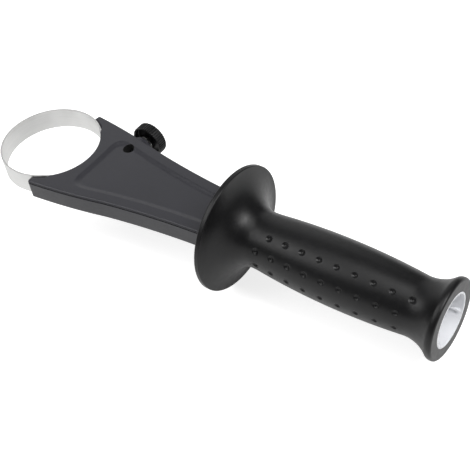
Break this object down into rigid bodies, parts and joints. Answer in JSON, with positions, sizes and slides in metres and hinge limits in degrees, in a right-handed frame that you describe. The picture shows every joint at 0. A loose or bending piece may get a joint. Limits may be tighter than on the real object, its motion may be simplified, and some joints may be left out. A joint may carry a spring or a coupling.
{
  "type": "power tool side handle",
  "caption": "Auxiliary side handle with a steel clamp band on a moulded base, a rubber grip with a guard that turns to tighten it, and a thumb screw for a depth rod.",
  "frame": {"origin": "centre of the clamp band's ring, at mid width", "axes": "+X along the handle towards the grip's open end, +Y towards the thumb screw, +Z along the tool's spindle axis"},
  "size_m": [0.2972, 0.0757, 0.073],
  "materials": {
    "base_plastic": "fine matte moulding texture",
    "strap_steel": "satin rolled strip",
    "zinc_steel": "zinc plated",
    "spring_steel": "blued spring steel",
    "core_plastic": "white moulded plastic",
    "grip_rubber": "semi-matte rubber",
    "insert_steel": "machined",
    "tip_nylon": "natural nylon",
    "bright_steel": "turned bright",
    "knob_plastic": "black moulded plastic"
  },
  "bodies": {
    "base": {"grip_base": "base_plastic", "thumb_nut": "insert_steel", "thrust_washer": "zinc_steel"},
    "strap": {"clamp_band": "strap_steel", "clamp_bolt": "zinc_steel"},
    "grip": {"grip_core": "core_plastic", "grip_sleeve": "grip_rubber", "grip_nut": "zinc_steel", "nut_retainer": "spring_steel"},
    "tip": {"rod_tip": "tip_nylon"},
    "thumb_screw": {"thumb_stud": "bright_steel", "thumb_knob": "knob_plastic"}
  },
  "joints": [
    {"name": "grip_turn", "type": "hinge", "parent": "base", "child": "grip", "pos_m": [0.2, 0, 0], "axis": [-1, 0, 0], "range_deg": [-1080, 144]},
    {"name": "band_draw", "type": "slide", "parent": "base", "child": "strap", "axis": [1, 0, 0], "range_m": [-0.00375, 0.0005]},
    {"name": "tip_press", "type": "slide", "parent": "base", "child": "tip", "axis": [0, -1, 0], "range_m": [-0.003, 0.0015]},
    {"name": "thumb_turn", "type": "hinge", "parent": "tip", "child": "thumb_screw", "pos_m": [0.0474, 0.035, 0], "axis": [0, -1, 0], "range_deg": [-1080, 540]}
  ],
  "couplings": [
    {"joint": "band_draw", "follows": "grip_turn", "m_per_rad": 0.00019894},
    {"joint": "tip_press", "follows": "thumb_turn", "m_per_rad": 0.00015915}
  ]
}
